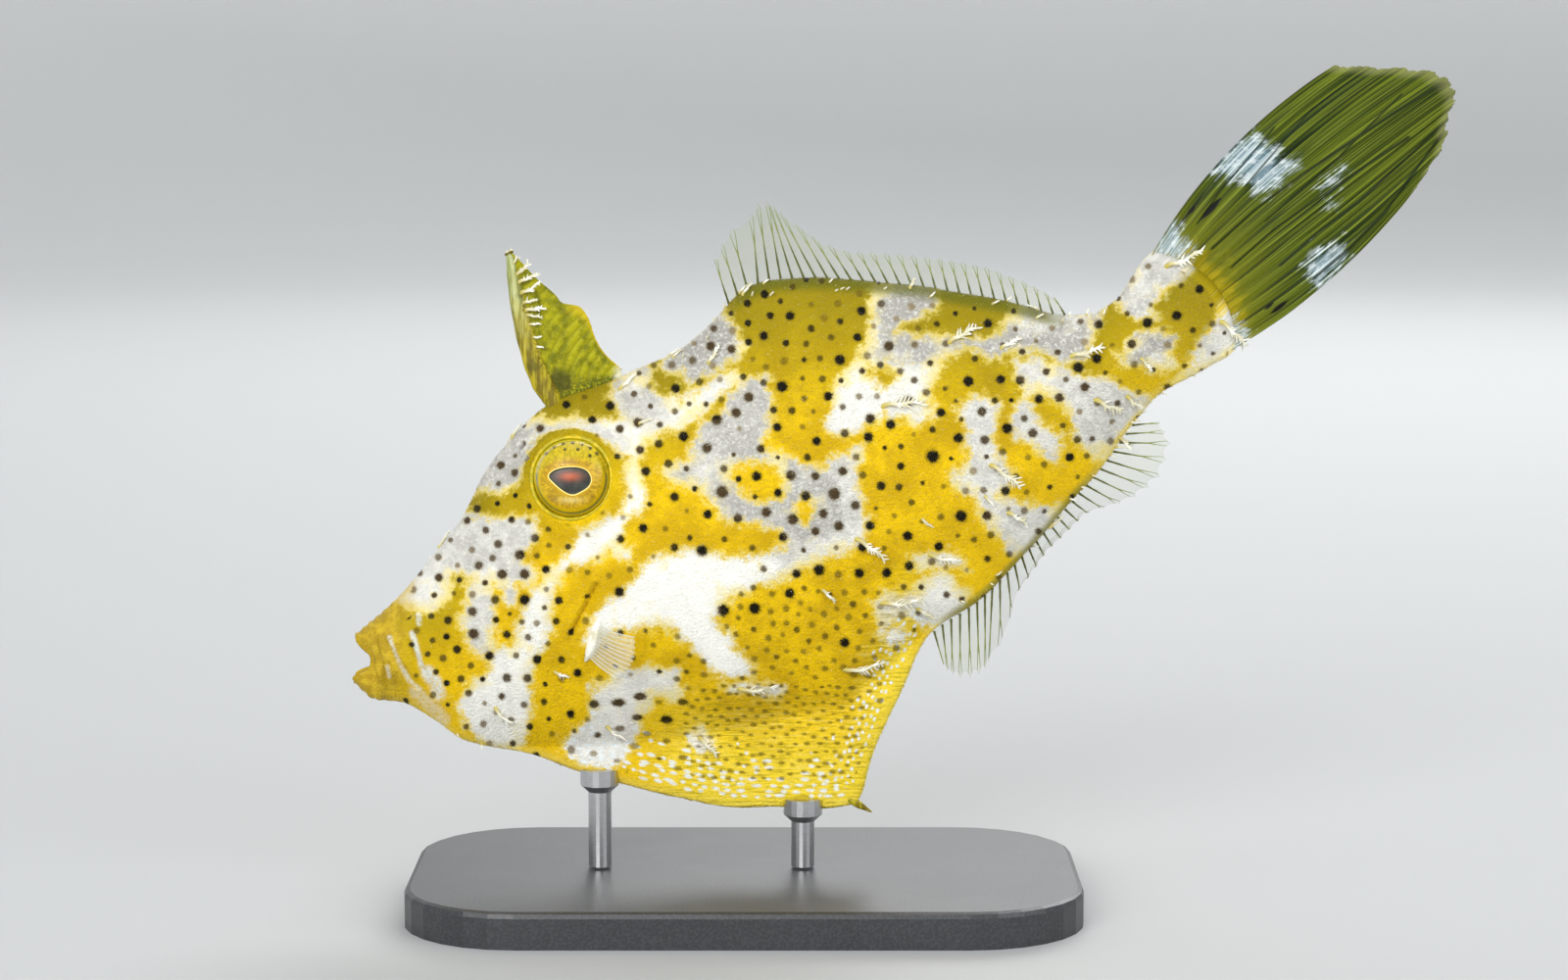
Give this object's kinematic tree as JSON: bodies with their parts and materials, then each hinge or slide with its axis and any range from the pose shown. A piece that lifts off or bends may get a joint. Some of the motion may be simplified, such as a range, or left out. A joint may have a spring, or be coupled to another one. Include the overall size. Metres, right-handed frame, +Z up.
{
  "type": "filefish display model",
  "caption": "Still, life-size yellow spotted filefish with raised back spine, long soft fins and fan tail, held over a flat base by short rods",
  "frame": {"origin": "middle of the bounding box, on the underside of the stand base", "axes": "+X from the snout towards the tail, +Z up, +Y towards the fish's right flank"},
  "size_m": [0.1505, 0.054, 0.1152],
  "materials": {
    "yellow_skin": "velvety painted skin, yellow with white patches and dark spots",
    "lip_skin": "smooth ochre lip skin",
    "olive_fin": "ribbed olive green fin",
    "clear_fin": "thin pale green fin",
    "iris": "wet golden eye",
    "pale_spine": "rough pale bony spine",
    "stand_black": "satin black base",
    "stand_steel": "brushed steel rods"
  },
  "bodies": {
    "root": {"upper_lip": "lip_skin", "lower_lip": "lip_skin", "head": "yellow_skin", "torso": "yellow_skin", "belly_flap": "yellow_skin", "tail_base": "yellow_skin", "eye_left": "iris", "eye_right": "iris", "dorsal_spine": "pale_spine", "pelvic_spine": "pale_spine", "spine_veil": "olive_fin", "tail_fin": "olive_fin", "dorsal_fin": "clear_fin", "anal_fin": "clear_fin", "pectoral_fin_left": "clear_fin", "pectoral_fin_right": "clear_fin", "stand_base": "stand_black", "stand_rod_front": "stand_steel", "stand_rod_rear": "stand_steel"}
  },
  "joints": []
}
